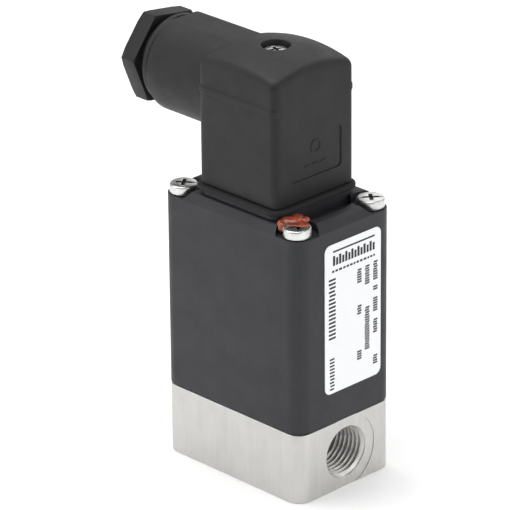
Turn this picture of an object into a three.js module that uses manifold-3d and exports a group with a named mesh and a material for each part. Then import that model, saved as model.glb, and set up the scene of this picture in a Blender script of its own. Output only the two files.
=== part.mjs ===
// Direct-acting 3/2-way solenoid valve with a pivoted armature and an angled cable plug.
// Millimetres. Origin: centre of the valve body's bottom face. +Z up, +X along the long side
// towards the inlet port, -X towards the cable gland.
import * as THREE from 'three';
import { mergeVertices } from 'three/addons/utils/BufferGeometryUtils.js';
import Module from 'manifold-3d';

const wasm = await Module();
wasm.setup();

// ---------------------------------------------------------------- driving dimensions
const GAP = 0.3;                      // clearance between pieces that touch on the real valve
const BLOCK = { x: 23, y: 16, corner: 4 };          // half sizes of the body and the housing
const BODY_TOP = 18;
const HOUSING = { foot: BODY_TOP + 0.25, rim: 68, plateau: 69.7, slopeX: 2.7, slopeY: 2, slopeBack: 0.5 };

const PORT = { z: 9, thread: 5.72, major: 6.6, face: 9.5, sink: 0.2, depth: 10.5, bore: 2 };
const SEAT = { x: 7, bore: 1.5, wall: 3, top: 14.6 };
const CHAMBER = { x: 11.5, y: 7, floor: 12.5, ledgeX: 16.5, ledgeY: 10.5, ledge: 16.4 };
const FIXING = { x: 10, y: 11, radius: 1.65, depth: 8 };

const SCREW = { x: 19, y: 12.25, shaft: 2, head: 3.4, under: 67.95, top: 70.25, tip: 8.5 };
const POCKET = { radius: 5.05, floor: 67.8 };
const LACQUER_LUMP = { long: 3.2, wide: 2.3, tall: 2.6, inward: 3.1, lift: 0.9 };

const PIVOT_Z = 22.5;
const PIN = { radius: 1, half: 9.7 };
const ARMATURE = { x: 12.5, y: 6, low: 21, high: 24, boss: 2.6, foot: 19 };
const PUSH_BOSS = { low: 17, high: 18.7, radius: 2.4 };
const FRAME = { x: 15, y: 12.5, inX: 13.2, inY: 6.8, low: 18.3, high: 26 };
const COIL = { x: 6, low: 29.8, high: 59.8, flange: 12, tube: 6.2, core: 4.5, rivet: 3, plate: 1.4 };
const YOKE = { y: 6.4, leg: -9.8, thick: 3, foot: 24.4, footEnd: -3.3, plate: 60.3, end: 11.5 };
const LEAD = { radius: 0.4, low: COIL.high + 0.1 };
const SPRING = { radius: 1.5, wire: 0.2, turns: 6, low: 24.3, high: 30.3 };

const PEDESTAL = { half: 13.3, top: 70.7 };
const MOAT = { x: 18.4, y: 11, corner: 7, floor: 67.6 };
const BLADE = { offset: 9, width: 6.3, thick: 0.8, low: 64.9, top: 81.3 };
const INSERT = { radius: 2.9, low: 64.8 };
const GASKET = { half: 14.3, low: 70.95, high: 72.25, open: 11, corner: 3.8 };

const HOOD = { x: 13.05, y: 13.2, low: 72.45, crown: 106.95, dome: 46, corner: 2.1, wall: 1.5 };
const TOWER = { radius: 5, low: 92 };
const CAVITY_TOP = 101.5;
const ROOF_HOLE = { radius: 3.5, floor: 102.75 };
const RIB = { low: 95.3, high: 97.4, proud: 0.35, root: 0.5 };
const NECK = { z: 94.4, radius: 12.25, flat: 105.8, end: -31.4, bore: 9.1, shoulder: -14, entry: 7.5 };
const NUT = { stem: 8.7, collar: 11.1, waist: 9.6, hex: 12.2, bore: 5.2, mouth: 7.7, turn: 38 };
const NUT_X = { stem: -24, collar: -32.4, waist: -34, hex: -35.9, end: -40.5 };
const CARRIER = { half: 11.3, foot: 10.6, low: 71.2, step: 72.6, high: 86 };
const CONTACT = { width: 7.4, thick: 3.4, low: 74.3, high: 85 };
const PLUG_SCREW = { shaft: 1.5, head: 2.85, under: 103.55, top: 105.75, tip: 66 };
const GROMMET = { inner: 4.2, near: NECK.shoulder - GAP, far: -22.3 };
const GLAND_WASHER = { inner: 5.3, near: -22.6, far: -23.6 };

const LABEL = { y0: -7.4, y1: 11.4, z0: 26.2, z1: 64.5, corner: 1.8, thick: 0.15 };

// ---------------------------------------------------------------- finishes
const finish = (color, roughness, metalness) =>
  new THREE.MeshStandardMaterial({ color, roughness, metalness });

const STAINLESS = finish(0xc9c9c5, 0.42, 0.9);
const MAGNET_STEEL = finish(0x9a9c9e, 0.4, 0.9);
const ZINC = finish(0xdadedd, 0.3, 0.9);
const BRASS = finish(0xb99a54, 0.35, 0.9);
const COPPER = finish(0xa8633a, 0.4, 0.8);
const SPRING_STEEL = finish(0xb4b6b8, 0.3, 0.9);
const HOUSING_PLASTIC = finish(0x3c3d40, 0.6, 0);
const HOOD_PLASTIC = finish(0x333334, 0.6, 0);
const CARRIER_PLASTIC = finish(0x4a4b4d, 0.6, 0);
const BOBBIN_PLASTIC = finish(0xd8d2c0, 0.6, 0);
const RUBBER = finish(0x1d1f1e, 0.8, 0);
const SEAL_RUBBER = finish(0x3a2f2b, 0.8, 0);
const LACQUER = finish(0x8c3e2e, 0.35, 0);
const LABEL_FILM = finish(0xf4f5f8, 0.5, 0);

// ---------------------------------------------------------------- shape helpers
// Closed geometry with merged corners, no collapsed triangles and its faces pointing out.
function closed(geometry) {
  const bare = geometry.clone();
  bare.deleteAttribute('normal');
  bare.deleteAttribute('uv');
  const merged = mergeVertices(bare, 1e-4);
  const corner = merged.getAttribute('position');
  const triangles = [];
  let volume = 0;
  const [a, b, c] = [new THREE.Vector3(), new THREE.Vector3(), new THREE.Vector3()];
  const index = merged.getIndex().array;
  for (let i = 0; i < index.length; i += 3) {
    const [p, q, r] = [index[i], index[i + 1], index[i + 2]];
    if (p === q || q === r || r === p) continue;
    triangles.push(p, q, r);
    a.fromBufferAttribute(corner, p);
    b.fromBufferAttribute(corner, q);
    c.fromBufferAttribute(corner, r);
    volume += a.dot(b.cross(c));
  }
  if (volume < 0) triangles.reverse();
  merged.setIndex(triangles);
  return merged;
}

function solid(geometry) {
  const shell = closed(geometry);
  return new wasm.Manifold(new wasm.Mesh({
    numProp: 3,
    vertProperties: new Float32Array(shell.getAttribute('position').array),
    triVerts: new Uint32Array(shell.getIndex().array),
  }));
}

function geometryOf(body) {
  const mesh = body.getMesh();
  const geometry = new THREE.BufferGeometry();
  geometry.setAttribute('position', new THREE.BufferAttribute(new Float32Array(mesh.vertProperties), 3));
  geometry.setIndex(new THREE.BufferAttribute(new Uint32Array(mesh.triVerts), 1));
  geometry.computeVertexNormals();
  return geometry;
}

const cut = (body, ...tools) => tools.reduce((rest, tool) => rest.subtract(tool), body);
const join = (body, ...others) => others.reduce((sum, other) => sum.add(other), body);

function roundedRect(halfX, halfY, corner) {
  const shape = new THREE.Shape();
  shape.absarc(halfX - corner, halfY - corner, corner, 0, Math.PI / 2);
  shape.absarc(corner - halfX, halfY - corner, corner, Math.PI / 2, Math.PI);
  shape.absarc(corner - halfX, corner - halfY, corner, Math.PI, 1.5 * Math.PI);
  shape.absarc(halfX - corner, corner - halfY, corner, 1.5 * Math.PI, 2 * Math.PI);
  shape.closePath();
  return shape;
}

function slab(shape, low, high, curveSegments = 6) {
  const options = { depth: high - low, bevelEnabled: false, curveSegments };
  return new THREE.ExtrudeGeometry(shape, options).translate(0, 0, low);
}

const roundedSlab = (halfX, halfY, corner, low, high, segments) =>
  solid(slab(roundedRect(halfX, halfY, corner), low, high, segments));

function box(x0, x1, y0, y1, z0, z1) {
  const geometry = new THREE.BoxGeometry(x1 - x0, y1 - y0, z1 - z0);
  return solid(geometry.translate((x0 + x1) / 2, (y0 + y1) / 2, (z0 + z1) / 2));
}

function discGeometry(radius, low, high, segments = 32) {
  const geometry = new THREE.CylinderGeometry(radius, radius, high - low, segments);
  return geometry.rotateX(Math.PI / 2).translate(0, 0, (low + high) / 2);
}

const disc = (x, y, radius, low, high, segments) =>
  solid(discGeometry(radius, low, high, segments).translate(x, y, 0));

// A turned shape about +Z from [radius, height] pairs; the profile ends on the axis or closes itself.
function turned(profile, segments = 32) {
  const points = profile.map(([radius, height]) => new THREE.Vector2(radius, height));
  return new THREE.LatheGeometry(points, segments).rotateX(Math.PI / 2);
}

function ringProfile(inner, outer, low, high) {
  return [[inner, low], [outer, low], [outer, high], [inner, high], [inner, low]];
}

// Turns a shape made about +Z so that its +Z points along -X.
const alongMinusX = (geometry) => geometry.rotateY(-Math.PI / 2);

const quadrants = [[-1, -1], [1, -1], [1, 1], [-1, 1]];

// ---------------------------------------------------------------- valve body
// Port socket along +Z: face at height 0, going down; spot face, chamfer, thread bore, drilled way.
function portTool(depth, reach) {
  const inner = PORT.sink + PORT.major - PORT.thread;
  return turned([
    [0, 1], [PORT.face, 1], [PORT.face, -PORT.sink], [PORT.major, -PORT.sink],
    [PORT.thread, -inner], [PORT.thread, -depth], [PORT.bore, -depth - 1],
    [PORT.bore, -reach], [0, -reach],
  ]);
}

function valveBody() {
  const outline = roundedRect(BLOCK.x, BLOCK.y, BLOCK.corner);
  const chamfer = 0.3;
  const block = new THREE.ExtrudeGeometry(outline, {
    depth: BODY_TOP - 2 * chamfer, bevelThickness: chamfer, bevelSize: chamfer,
    bevelOffset: -chamfer, bevelSegments: 1, curveSegments: 6,
  });
  const inlet = portTool(PORT.depth, BLOCK.x - SEAT.x + 1).rotateY(Math.PI / 2);
  const outlet = portTool(PORT.depth, BLOCK.x - SEAT.x + 1).rotateY(-Math.PI / 2);
  const sidePort = portTool(PORT.depth - 2.5, BLOCK.y + 1).rotateX(-Math.PI / 2);
  const ways = [
    solid(inlet.translate(BLOCK.x, 0, PORT.z)),
    solid(outlet.translate(-BLOCK.x, 0, PORT.z)),
    solid(sidePort.translate(0, BLOCK.y, PORT.z)),
    disc(0, 0, PORT.bore, PORT.z, CHAMBER.floor + 1, 16),
  ];
  const chamber = roundedSlab(CHAMBER.x, CHAMBER.y, CHAMBER.y - 0.1, CHAMBER.floor, BODY_TOP + 1);
  const ledge = roundedSlab(CHAMBER.ledgeX, CHAMBER.ledgeY, CHAMBER.ledgeY - 0.1, CHAMBER.ledge,
    BODY_TOP + 1);
  const seats = [-1, 1].map((side) => disc(side * SEAT.x, 0, SEAT.wall, CHAMBER.floor - 1, SEAT.top, 24));
  const seatBores = [-1, 1].map((side) => disc(side * SEAT.x, 0, SEAT.bore, PORT.z, BODY_TOP, 16));
  const threads = quadrants.map(([sx, sy]) =>
    disc(sx * SCREW.x, sy * SCREW.y, SCREW.shaft + GAP, SCREW.tip - 1, BODY_TOP + 1, 16));
  const fixings = [-1, 1].map((side) =>
    disc(side * FIXING.x, -FIXING.y, FIXING.radius, -1, FIXING.depth, 16));
  let body = cut(solid(block.translate(0, 0, chamfer)), chamber, ledge);
  body = join(body, ...seats);
  return cut(body, ...ways, ...seatBores, ...threads, ...fixings);
}

// Separating diaphragm: clamped rim, and a seat pad with a push boss over each seat.
function diaphragm() {
  const rim = roundedSlab(CHAMBER.ledgeX - GAP, CHAMBER.ledgeY - GAP, CHAMBER.ledgeY - GAP - 0.1,
    CHAMBER.ledge + GAP, CHAMBER.ledge + GAP + 1.1);
  const padLow = { '1': SEAT.top + GAP, '-1': SEAT.top + 0.8 };
  const pads = [-1, 1].map((side) => disc(side * SEAT.x, 0, SEAT.wall + 0.4,
    padLow[side], PUSH_BOSS.low, 24));
  const bosses = [-1, 1].map((side) => disc(side * SEAT.x, 0, PUSH_BOSS.radius,
    PUSH_BOSS.low, PUSH_BOSS.high, 24));
  return join(rim, ...pads, ...bosses);
}

// ---------------------------------------------------------------- magnet drive
function armatureFrame() {
  const ring = cut(
    roundedSlab(FRAME.x, FRAME.y, 2, FRAME.low, FRAME.high, 4),
    roundedSlab(FRAME.inX, FRAME.inY, 1, FRAME.low - 1, FRAME.high + 1, 3));
  const pinHole = discGeometry(PIN.radius + GAP, -PIN.half - GAP, PIN.half + GAP, 16).rotateX(Math.PI / 2);
  return cut(ring, solid(pinHole.translate(0, 0, PIVOT_Z)));
}

function armature() {
  const plate = roundedSlab(ARMATURE.x, ARMATURE.y, 1.5, ARMATURE.low, ARMATURE.high, 4);
  const boss = discGeometry(ARMATURE.boss, -ARMATURE.y, ARMATURE.y, 24).rotateX(Math.PI / 2);
  const bore = discGeometry(PIN.radius + GAP, -ARMATURE.y - 1, ARMATURE.y + 1, 16).rotateX(Math.PI / 2);
  const feet = [-1, 1].map((side) => disc(side * SEAT.x, 0, PUSH_BOSS.radius - 0.2,
    ARMATURE.foot, ARMATURE.low + 1, 24));
  const body = join(plate, solid(boss.translate(0, 0, PIVOT_Z)), ...feet);
  return cut(body, solid(bore.translate(0, 0, PIVOT_Z)));
}

class Helix extends THREE.Curve {
  constructor(radius, turns, low, high) {
    super();
    Object.assign(this, { radius, turns, low, high });
  }

  getPoint(t, target = new THREE.Vector3()) {
    const angle = 2 * Math.PI * this.turns * t;
    const height = this.low + (this.high - this.low) * t;
    return target.set(this.radius * Math.cos(angle), this.radius * Math.sin(angle), height);
  }
}

function returnSpring() {
  const wire = new THREE.Shape().absarc(0, 0, SPRING.wire, 0, 2 * Math.PI);
  const path = new Helix(SPRING.radius, SPRING.turns, SPRING.low + SPRING.wire, SPRING.high);
  return new THREE.ExtrudeGeometry(wire, {
    steps: SPRING.turns * 12, extrudePath: path, curveSegments: 3,
  });
}

function poleCore() {
  const low = ARMATURE.high + 1.1;
  const pocket = { radius: SPRING.radius + SPRING.wire + 0.4, top: SPRING.high + 0.7 };
  return turned([
    [pocket.radius, low], [COIL.core, low], [COIL.core, YOKE.plate - GAP],
    [COIL.rivet, YOKE.plate - GAP], [COIL.rivet, YOKE.plate + YOKE.thick], [0, YOKE.plate + YOKE.thick],
    [0, pocket.top], [pocket.radius, pocket.top], [pocket.radius, low],
  ]);
}

function yoke() {
  const top = YOKE.plate + YOKE.thick;
  const leg = box(YOKE.leg, YOKE.leg + YOKE.thick, -YOKE.y, YOKE.y, YOKE.foot, top);
  const plate = box(YOKE.leg, YOKE.end, -YOKE.y, YOKE.y, YOKE.plate, top);
  const foot = box(YOKE.leg, YOKE.footEnd, -YOKE.y, YOKE.y, YOKE.foot, YOKE.foot + YOKE.thick);
  return cut(join(leg, plate, foot), disc(COIL.x, 0, COIL.rivet + GAP, YOKE.plate - 1, top + 1, 24));
}

function coilBobbin() {
  const bore = COIL.core + GAP;
  return turned([
    [bore, COIL.low], [COIL.flange, COIL.low], [COIL.flange, COIL.low + COIL.plate],
    [COIL.tube, COIL.low + COIL.plate], [COIL.tube, COIL.high - COIL.plate],
    [COIL.flange, COIL.high - COIL.plate], [COIL.flange, COIL.high], [bore, COIL.high],
    [bore, COIL.low],
  ]);
}

const coilWinding = () => turned(ringProfile(COIL.tube + GAP, COIL.flange - 0.6,
  COIL.low + COIL.plate + GAP, COIL.high - COIL.plate - GAP));

// ---------------------------------------------------------------- coil housing
function housingTop() {
  const run = HOUSING.plateau - HOUSING.rim;
  const outer = roundedRect(BLOCK.x, BLOCK.y, BLOCK.corner).extractPoints(6).shape;
  const scaleX = (BLOCK.x - HOUSING.slopeX) / BLOCK.x;
  const scaleY = (BLOCK.y - (HOUSING.slopeY + HOUSING.slopeBack) / 2) / BLOCK.y;
  const shiftY = (HOUSING.slopeY - HOUSING.slopeBack) / 2;
  const wall = slab(new THREE.Shape(outer), HOUSING.rim, HOUSING.plateau);
  const corners = wall.getAttribute('position');
  for (let i = 0; i < corners.count; i += 1) {
    const rise = (corners.getZ(i) - HOUSING.rim) / run;
    corners.setX(i, corners.getX(i) * (1 + rise * (scaleX - 1)));
    corners.setY(i, corners.getY(i) * (1 + rise * (scaleY - 1)) + rise * shiftY);
  }
  return solid(wall);
}

function coilHousing() {
  const trunk = roundedSlab(BLOCK.x, BLOCK.y, BLOCK.corner, HOUSING.foot, HOUSING.rim);
  const pedestal = roundedSlab(PEDESTAL.half, PEDESTAL.half, 3, MOAT.floor, PEDESTAL.top, 4);
  const moat = roundedSlab(MOAT.x, MOAT.y, MOAT.corner, MOAT.floor, HOUSING.plateau + 1, 8);
  const coreRoom = disc(COIL.x, 0, COIL.flange + GAP, FRAME.high, COIL.high + GAP, 40);
  const frameRoom = roundedSlab(FRAME.x + GAP, FRAME.y + GAP, 2, HOUSING.foot - 1,
    FRAME.high + GAP, 4);
  const top = YOKE.plate + YOKE.thick + GAP;
  const side = YOKE.y + GAP;
  const left = YOKE.leg - GAP;
  const yokeRooms = [
    box(left, YOKE.leg + YOKE.thick + GAP, -side, side, FRAME.high, top),
    box(left, YOKE.end + GAP, -side, side, YOKE.plate - GAP, top),
  ];
  const footRoom = box(left, 0, -side, side, FRAME.high, YOKE.foot + YOKE.thick + GAP);
  const bladeRooms = blades.map(({ x, y, along }) => bladeBox(x, y, along, BLADE.low - GAP,
    PEDESTAL.top + 1, GAP));
  const leadRooms = [-1, 1].map((s) => disc(0, s * BLADE.offset, LEAD.radius + GAP,
    COIL.high, BLADE.low, 12));
  const insertRoom = disc(0, 0, INSERT.radius + GAP, INSERT.low - GAP, PEDESTAL.top + 1, 24);
  const pockets = quadrants.map(([sx, sy]) =>
    disc(sx * SCREW.x, sy * SCREW.y, POCKET.radius, POCKET.floor, HOUSING.plateau + 1, 40));
  const screwHoles = quadrants.map(([sx, sy]) =>
    disc(sx * SCREW.x, sy * SCREW.y, SCREW.shaft + GAP, HOUSING.foot - 1, HOUSING.plateau, 16));
  let body = join(trunk, housingTop());
  body = join(cut(body, moat), pedestal);
  return cut(body, coreRoom, frameRoom, ...yokeRooms, footRoom, ...bladeRooms, ...leadRooms,
    insertRoom, ...pockets, ...screwHoles);
}

// Cheese-head screw with a cross recess and a slot, standing on its tip height.
function housingScrew() {
  const rounding = 0.4;
  const body = solid(turned([
    [0, SCREW.tip], [SCREW.shaft - 0.4, SCREW.tip], [SCREW.shaft, SCREW.tip + 0.5],
    [SCREW.shaft, SCREW.under], [SCREW.head, SCREW.under], [SCREW.head, SCREW.top - rounding],
    [SCREW.head - rounding, SCREW.top], [0, SCREW.top],
  ], 28));
  const slot = 0.45;
  const reach = 1.9;
  const floor = SCREW.top - 1.2;
  return cut(body,
    box(-slot, slot, -reach, reach, floor, SCREW.top + 1),
    box(-reach, reach, -slot, slot, floor, SCREW.top + 1));
}

// Sealing lacquer: a low lump on the pocket floor beside the front screw, up to its head's rim.
function sealLacquer() {
  const { long, wide, tall, inward, lift } = LACQUER_LUMP;
  const lump = new THREE.SphereGeometry(1, 20, 12).scale(long, wide, tall).rotateZ(Math.PI / 4);
  const place = solid(lump.translate(SCREW.x - inward, inward - SCREW.y, POCKET.floor + lift));
  const room = disc(SCREW.x, -SCREW.y, POCKET.radius - GAP, POCKET.floor + GAP, SCREW.top + 3, 40);
  const head = disc(SCREW.x, -SCREW.y, SCREW.head + GAP, POCKET.floor - 1, SCREW.top + GAP, 28);
  const underPlug = box(-BLOCK.x, GASKET.half + GAP, -GASKET.half - GAP, BLOCK.y,
    GASKET.low - 0.5, HOOD.low);
  return cut(place.intersect(room), head, underPlug);
}

function ratingLabel() {
  const halfY = (LABEL.y1 - LABEL.y0) / 2;
  const halfZ = (LABEL.z1 - LABEL.z0) / 2;
  const film = slab(roundedRect(halfY, halfZ, LABEL.corner), 0, LABEL.thick);
  film.rotateX(Math.PI / 2).rotateZ(Math.PI / 2);
  return film.translate(BLOCK.x + 0.05, LABEL.y0 + halfY, LABEL.z0 + halfZ);
}

// ---------------------------------------------------------------- connector in the housing
const blades = [
  { name: 'terminal_blade_1', x: 0, y: -BLADE.offset, along: 'x' },
  { name: 'terminal_blade_2', x: 0, y: BLADE.offset, along: 'x' },
  { name: 'earth_blade', x: -BLADE.offset, y: 0, along: 'y' },
];

function bladeBox(x, y, along, low, high, margin) {
  const wide = BLADE.width / 2 + margin;
  const thin = BLADE.thick / 2 + margin;
  const [hx, hy] = along === 'x' ? [wide, thin] : [thin, wide];
  return box(x - hx, x + hx, y - hy, y + hy, low, high);
}

function blade(along) {
  const half = BLADE.width / 2;
  const outline = new THREE.Shape();
  outline.moveTo(-half, BLADE.low);
  outline.lineTo(half, BLADE.low);
  outline.lineTo(half, BLADE.top - 1.2);
  outline.lineTo(half - 1.2, BLADE.top);
  outline.lineTo(1.2 - half, BLADE.top);
  outline.lineTo(-half, BLADE.top - 1.2);
  outline.closePath();
  const plate = slab(outline, -BLADE.thick / 2, BLADE.thick / 2).rotateX(Math.PI / 2);
  return along === 'x' ? plate : plate.rotateZ(Math.PI / 2);
}

const threadedInsert = () => turned(ringProfile(PLUG_SCREW.shaft + 0.25, INSERT.radius,
  INSERT.low, PEDESTAL.top));

function plugGasket() {
  const pad = roundedSlab(GASKET.half, GASKET.half, GASKET.corner, GASKET.low, GASKET.high, 6);
  return cut(pad, roundedSlab(GASKET.open, GASKET.open, 1.5, GASKET.low - 1, GASKET.high + 1, 3));
}

// ---------------------------------------------------------------- cable plug
function plugHood() {
  const column = roundedSlab(HOOD.x, HOOD.y, HOOD.corner, HOOD.low, HOOD.crown + 1, 5);
  const dome = new THREE.SphereGeometry(HOOD.dome, 72, 48).rotateX(Math.PI / 2);
  const block = column.intersect(solid(dome.translate(0, 0, HOOD.crown - HOOD.dome)));
  const neckLength = -NECK.end;
  const neckShape = alongMinusX(discGeometry(NECK.radius, 0, neckLength, 48));
  const neck = solid(neckShape.translate(0, 0, NECK.z))
    .subtract(box(NECK.end - 1, 1, -HOOD.y, HOOD.y, NECK.flat, HOOD.crown));
  const ribReach = HOOD.x - HOOD.corner;
  const ribOut = HOOD.y + RIB.proud;
  const ribs = [
    box(-ribReach, ribReach, -ribOut, RIB.root - HOOD.y, RIB.low, RIB.high),
    box(-ribReach, ribReach, HOOD.y - RIB.root, ribOut, RIB.low, RIB.high),
  ];
  const room = roundedSlab(HOOD.x - HOOD.wall, HOOD.y - HOOD.wall, 1.2, HOOD.low - 1,
    CAVITY_TOP, 3);
  const screwTower = disc(0, 0, TOWER.radius, TOWER.low, CAVITY_TOP + 1, 32);
  const entry = solid(alongMinusX(turned([
    [0, 11], [NECK.entry, 11], [NECK.entry, -NECK.shoulder], [NECK.bore, -NECK.shoulder],
    [NECK.bore, neckLength + 1], [0, neckLength + 1],
  ], 40)).translate(0, 0, NECK.z));
  const shell = cut(join(block, neck, ...ribs), room, entry);
  return cut(join(shell, screwTower),
    disc(0, 0, ROOF_HOLE.radius, ROOF_HOLE.floor, HOOD.crown + 2, 32),
    disc(0, 0, PLUG_SCREW.shaft + GAP, TOWER.low - 2, HOOD.crown, 20));
}

function contactCarrier() {
  const block = join(
    roundedSlab(CARRIER.half, CARRIER.half, 1, CARRIER.step, CARRIER.high, 3),
    roundedSlab(CARRIER.foot, CARRIER.foot, 1.2, CARRIER.low, CARRIER.step + 0.5, 3));
  const rooms = blades.flatMap(({ x, y, along }) => {
    const wide = CONTACT.width / 2 + GAP;
    const thin = CONTACT.thick / 2 + GAP;
    const [hx, hy] = along === 'x' ? [wide, thin] : [thin, wide];
    return [
      box(x - hx, x + hx, y - hy, y + hy, CONTACT.low - GAP, CARRIER.high + 1),
      bladeBox(x, y, along, CARRIER.low - 1, CONTACT.low, GAP),
    ];
  });
  return cut(block, ...rooms, disc(0, 0, PLUG_SCREW.shaft + 2 * GAP, 70, 90, 20));
}

// Female contact with its terminal block above the blade, made about the blade's own middle.
function contact(along) {
  const wide = CONTACT.width / 2;
  const thin = CONTACT.thick / 2;
  let body = box(-wide, wide, -thin, thin, CONTACT.low, CONTACT.high);
  const slit = bladeBox(0, 0, 'x', CONTACT.low - 1, BLADE.top + GAP, 0.2);
  const wire = discGeometry(0.7, -wide - 1, wide + 1, 14).rotateY(Math.PI / 2);
  const screwHole = disc(0, 0, 1.3, CONTACT.high - 1.6, CONTACT.high + 1, 14);
  body = cut(body, slit, solid(wire.translate(0, 0, CONTACT.high - 1.7)), screwHole);
  const geometry = geometryOf(body);
  return along === 'x' ? geometry : geometry.rotateZ(Math.PI / 2);
}

// Slotted clamp screw, its head resting above the terminal block.
function clampScrew() {
  const under = CONTACT.high + GAP;
  const top = under + 1.3;
  const body = solid(turned([
    [0, CONTACT.high - 1], [1, CONTACT.high - 1], [1, under], [1.55, under], [1.55, top], [0, top],
  ], 20));
  return geometryOf(cut(body, box(-2, 2, -0.25, 0.25, top - 0.6, top + 1)));
}

function plugScrew() {
  const body = solid(turned([
    [0, PLUG_SCREW.tip], [1.1, PLUG_SCREW.tip], [PLUG_SCREW.shaft, PLUG_SCREW.tip + 0.5],
    [PLUG_SCREW.shaft, PLUG_SCREW.under], [PLUG_SCREW.head, PLUG_SCREW.under],
    [PLUG_SCREW.head, PLUG_SCREW.top - 0.4], [PLUG_SCREW.head - 0.4, PLUG_SCREW.top],
    [0, PLUG_SCREW.top],
  ], 28));
  const floor = PLUG_SCREW.top - 1.1;
  return cut(body,
    box(-0.4, 0.4, -3, 3, floor, PLUG_SCREW.top + 1),
    box(-1.5, 1.5, -0.4, 0.4, floor, PLUG_SCREW.top + 1));
}

const screwWasher = () => turned(ringProfile(PLUG_SCREW.shaft + GAP, ROOF_HOLE.radius - 0.5,
  ROOF_HOLE.floor + 0.1, PLUG_SCREW.under - 0.2), 28);

// Gland nut along -X: stem inside the neck, round collar, waist and hexagon.
function glandNut() {
  const rounds = solid(turned([
    [NUT.bore, -NUT_X.stem], [NUT.stem, -NUT_X.stem], [NUT.stem, -NUT_X.collar],
    [NUT.collar, -NUT_X.collar], [NUT.collar, -NUT_X.waist], [NUT.waist, -NUT_X.waist],
    [NUT.waist, 0.2 - NUT_X.hex], [NUT.bore, 0.2 - NUT_X.hex], [NUT.bore, -NUT_X.stem],
  ], 40));
  const hexagon = new THREE.CylinderGeometry(NUT.hex, NUT.hex, NUT_X.hex - NUT_X.end, 6);
  hexagon.rotateX(Math.PI / 2).translate(0, 0, -(NUT_X.hex + NUT_X.end) / 2);
  hexagon.rotateZ(Math.PI / 6 + THREE.MathUtils.degToRad(NUT.turn));
  const mouth = solid(turned([
    [0, -NUT_X.hex - 1], [NUT.bore, -NUT_X.hex - 1], [NUT.bore, -NUT_X.end - 1.5],
    [NUT.mouth, -NUT_X.end + 1], [0, -NUT_X.end + 1],
  ], 40));
  const nut = geometryOf(cut(join(rounds, solid(hexagon)), mouth));
  return alongMinusX(nut).translate(0, 0, NECK.z);
}

function glandRing({ inner, near, far }) {
  return alongMinusX(turned(ringProfile(inner, NUT.stem, -near, -far), 32)).translate(0, 0, NECK.z);
}

// ---------------------------------------------------------------- assembly
function named(name, shape, material, place = [0, 0, 0]) {
  const geometry = shape instanceof THREE.BufferGeometry ? closed(shape) : geometryOf(shape);
  const mesh = new THREE.Mesh(geometry, material);
  mesh.name = name;
  mesh.position.set(...place);
  return mesh;
}

const valve = new THREE.Group();
valve.add(
  named('valve_body', valveBody(), STAINLESS),
  named('diaphragm', diaphragm(), SEAL_RUBBER),
  named('armature_frame', armatureFrame(), BRASS),
  named('armature_pin', discGeometry(PIN.radius, -PIN.half, PIN.half, 16).rotateX(Math.PI / 2),
    SPRING_STEEL, [0, 0, PIVOT_Z]),
  named('armature', armature(), MAGNET_STEEL),
  named('return_spring', returnSpring(), SPRING_STEEL, [COIL.x, 0, 0]),
  named('pole_core', poleCore(), MAGNET_STEEL, [COIL.x, 0, 0]),
  named('yoke', yoke(), MAGNET_STEEL),
  named('coil_bobbin', coilBobbin(), BOBBIN_PLASTIC, [COIL.x, 0, 0]),
  named('coil_winding', coilWinding(), COPPER, [COIL.x, 0, 0]),
  named('coil_housing', coilHousing(), HOUSING_PLASTIC),
  named('seal_lacquer', sealLacquer(), LACQUER),
  named('rating_label', ratingLabel(), LABEL_FILM),
  named('threaded_insert', threadedInsert(), BRASS),
  named('plug_gasket', plugGasket(), RUBBER),
);
quadrants.forEach(([sx, sy], i) => {
  valve.add(named(`housing_screw_${i + 1}`, housingScrew(), ZINC, [sx * SCREW.x, sy * SCREW.y, 0]));
});
for (const { name, x, y, along } of blades) {
  valve.add(named(name, blade(along), ZINC, [x, y, 0]));
}
[-1, 1].forEach((side, i) => {
  const lead = discGeometry(LEAD.radius, LEAD.low, BLADE.low - 0.2, 10);
  valve.add(named(`coil_lead_${i + 1}`, lead, COPPER, [0, side * BLADE.offset, 0]));
});

const plug = new THREE.Group();
plug.add(
  named('plug_hood', plugHood(), HOOD_PLASTIC),
  named('contact_carrier', contactCarrier(), CARRIER_PLASTIC),
  named('screw_washer', screwWasher(), RUBBER),
  named('plug_screw', plugScrew(), ZINC),
  named('gland_grommet', glandRing(GROMMET), RUBBER),
  named('gland_washer', glandRing(GLAND_WASHER), CARRIER_PLASTIC),
  named('gland_nut', glandNut(), HOOD_PLASTIC),
);
blades.forEach(({ name, x, y, along }, i) => {
  plug.add(
    named(name.replace('blade', 'contact'), contact(along), BRASS, [x, y, 0]),
    named(`clamp_screw_${i + 1}`, clampScrew(), ZINC, [x, y, 0]),
  );
});

const solenoidValve = new THREE.Group();
solenoidValve.add(valve, plug);

export default solenoidValve;
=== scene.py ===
"""Looks of a direct-acting solenoid valve with an angled cable plug, built round its frame.

Shapes are worked out in millimetres and turned into metres when an object is made.
"""

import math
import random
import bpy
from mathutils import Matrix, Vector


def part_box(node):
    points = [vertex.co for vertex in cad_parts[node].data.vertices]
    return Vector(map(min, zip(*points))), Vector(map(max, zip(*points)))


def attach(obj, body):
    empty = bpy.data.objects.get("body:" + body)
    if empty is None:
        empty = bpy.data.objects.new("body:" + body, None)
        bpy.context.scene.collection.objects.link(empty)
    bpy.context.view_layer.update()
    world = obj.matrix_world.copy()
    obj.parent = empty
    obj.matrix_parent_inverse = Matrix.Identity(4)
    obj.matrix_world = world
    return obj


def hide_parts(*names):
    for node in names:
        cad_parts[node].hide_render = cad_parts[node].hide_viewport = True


bl_info = {
    "name": "Solenoid valve looks",
    "version": (1, 0, 0),
    "blender": (4, 5, 0),
    "location": "3D View > Sidebar > Valve",
    "description": "Builds the visible pieces, finishes and studio of a solenoid valve",
    "category": "Object",
}

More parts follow.
